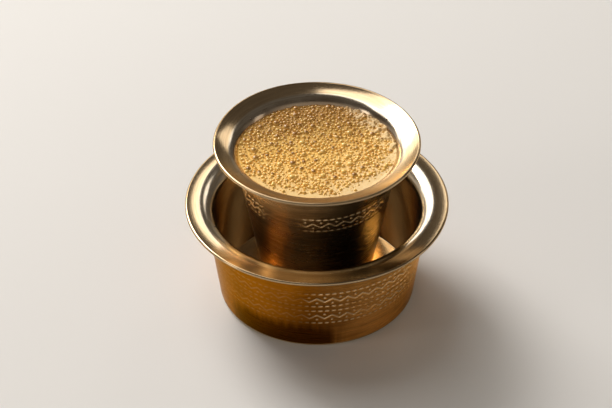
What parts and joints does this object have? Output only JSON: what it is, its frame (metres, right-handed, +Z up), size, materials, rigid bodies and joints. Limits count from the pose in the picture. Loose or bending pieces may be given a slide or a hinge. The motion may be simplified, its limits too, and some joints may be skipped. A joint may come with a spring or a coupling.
{
  "type": "filter coffee in a tumbler and dabara",
  "caption": "Frothy milk filter coffee in a flared brass tumbler that stands in its wide-lipped brass dabara bowl.",
  "frame": {"origin": "centre of the dabara's flat underside, on the surface it rests on", "axes": "+Z up along the axis that both vessels are turned about; X and Y are alike"},
  "size_m": [0.1036, 0.1034, 0.0713],
  "materials": {
    "dabara_brass": "brushed, stamped band",
    "tumbler_brass": "brushed, stamped band",
    "coffee": "liquid",
    "froth": "fine foam with open bubbles"
  },
  "bodies": {
    "root": {"dabara": "dabara_brass", "tumbler": "tumbler_brass", "coffee": "coffee", "froth": "froth"}
  },
  "joints": []
}
